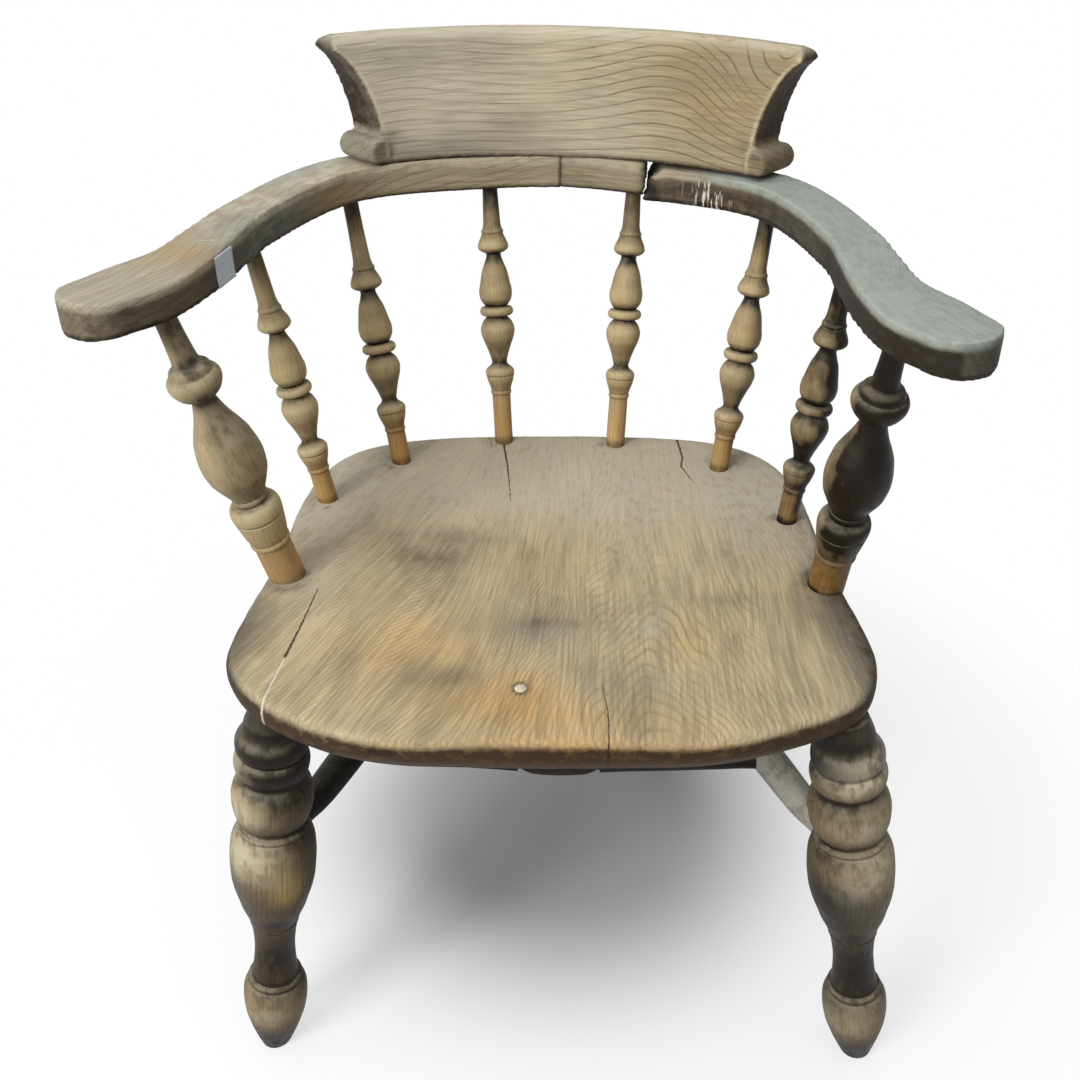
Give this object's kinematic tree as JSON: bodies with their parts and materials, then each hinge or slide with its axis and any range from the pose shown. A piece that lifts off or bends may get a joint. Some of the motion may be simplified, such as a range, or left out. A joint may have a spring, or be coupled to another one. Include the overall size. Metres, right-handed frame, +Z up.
{
  "type": "bow-arm wooden armchair",
  "caption": "Low-backed wooden armchair with a saddled plank seat, turned legs and spindles, a shaped crest rail and a bent arm bow broken on one side",
  "frame": {"origin": "centre of the bounding box, at the floor", "axes": "+Z up, the sitter faces -Y, +X on the right of someone facing the chair"},
  "size_m": [0.6756, 0.5618, 0.8278],
  "materials": {
    "seat_wood": "worn elm plank, dusty, finish rubbed through",
    "arm_wood": "weathered grey-brown, dusty",
    "crest_wood": "bare, silvered, dark open grain",
    "spindle_wood": "old varnish, darkened, grey dust",
    "leg_wood": "dark varnish worn to pale wood on the beads",
    "stretcher_wood": "dark and dusty",
    "screw_steel": "tarnished steel",
    "plug_wood": "pale bare wood",
    "label_paper": "blank pale blue paper"
  },
  "bodies": {
    "root": {"seat": "seat_wood", "seat_plug": "plug_wood", "arm_left": "arm_wood", "bow_stub": "arm_wood", "arm_right": "arm_wood", "crest_rail": "crest_wood", "crest_screw_1": "screw_steel", "crest_screw_2": "screw_steel", "crest_screw_3": "screw_steel", "crest_screw_4": "screw_steel", "arm_support_left": "spindle_wood", "arm_support_right": "spindle_wood", "spindle_left_1": "spindle_wood", "spindle_left_2": "spindle_wood", "spindle_left_3": "spindle_wood", "spindle_right_1": "spindle_wood", "spindle_right_2": "spindle_wood", "spindle_right_3": "spindle_wood", "leg_front_left": "leg_wood", "leg_front_right": "leg_wood", "leg_rear_left": "leg_wood", "leg_rear_right": "leg_wood", "side_stretcher_left": "stretcher_wood", "side_stretcher_right": "stretcher_wood", "cross_stretcher_front": "stretcher_wood", "cross_stretcher_rear": "stretcher_wood", "paper_label": "label_paper"}
  },
  "joints": []
}
